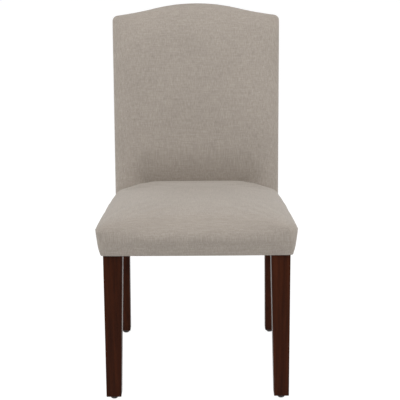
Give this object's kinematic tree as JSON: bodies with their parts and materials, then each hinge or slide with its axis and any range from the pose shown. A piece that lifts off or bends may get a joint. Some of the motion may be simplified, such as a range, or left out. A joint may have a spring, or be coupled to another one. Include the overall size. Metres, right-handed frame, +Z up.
{
  "type": "parsons chair",
  "caption": "Upholstered armless dining chair with an arched padded back, a crowned padded seat and tapered dark wooden legs.",
  "frame": {"origin": "on the floor under the middle of the chair", "axes": "+Z up, the chair faces -Y, +X to the right of someone who looks at its front"},
  "size_m": [0.4954, 0.5922, 0.9697],
  "materials": {
    "linen_weave": "plain weave of slubby grey-beige yarn, matte",
    "stained_wood": "dark espresso stain under satin lacquer",
    "frame_wood": "plain sawn hardwood",
    "foam": "open-cell upholstery foam",
    "wadding": "polyester fibre wadding",
    "webbing": "elastic woven webbing",
    "black_cloth": "non-woven black cambric",
    "zinc_steel": "zinc-plated",
    "glide_plastic": "dark moulded"
  },
  "bodies": {
    "root": {"front_leg_left": "stained_wood", "front_leg_right": "stained_wood", "rear_leg_left": "stained_wood", "rear_leg_right": "stained_wood", "front_rail": "frame_wood", "rear_rail": "frame_wood", "side_rail_left": "frame_wood", "side_rail_right": "frame_wood", "corner_block_front_left": "frame_wood", "corner_block_front_right": "frame_wood", "corner_block_rear_left": "frame_wood", "corner_block_rear_right": "frame_wood", "back_lower_rail": "frame_wood", "back_top_rail": "frame_wood", "dowels": "frame_wood", "leg_bolts": "zinc_steel", "bolt_washers": "zinc_steel", "bolt_nuts": "zinc_steel", "block_screws": "zinc_steel", "back_cross_webs": "webbing", "back_upright_webs": "webbing", "seat_lengthwise_webs": "webbing", "seat_crosswise_webs": "webbing", "back_foam": "foam", "back_rear_padding": "foam", "seat_foam": "foam", "back_wadding": "wadding", "seat_wadding": "wadding", "back_cover": "linen_weave", "back_outside_panel": "linen_weave", "seat_cover": "linen_weave", "dust_cover": "black_cloth", "dust_cover_staples": "zinc_steel", "glide_front_left": "glide_plastic", "glide_front_right": "glide_plastic", "glide_rear_left": "glide_plastic", "glide_rear_right": "glide_plastic"}
  },
  "joints": []
}
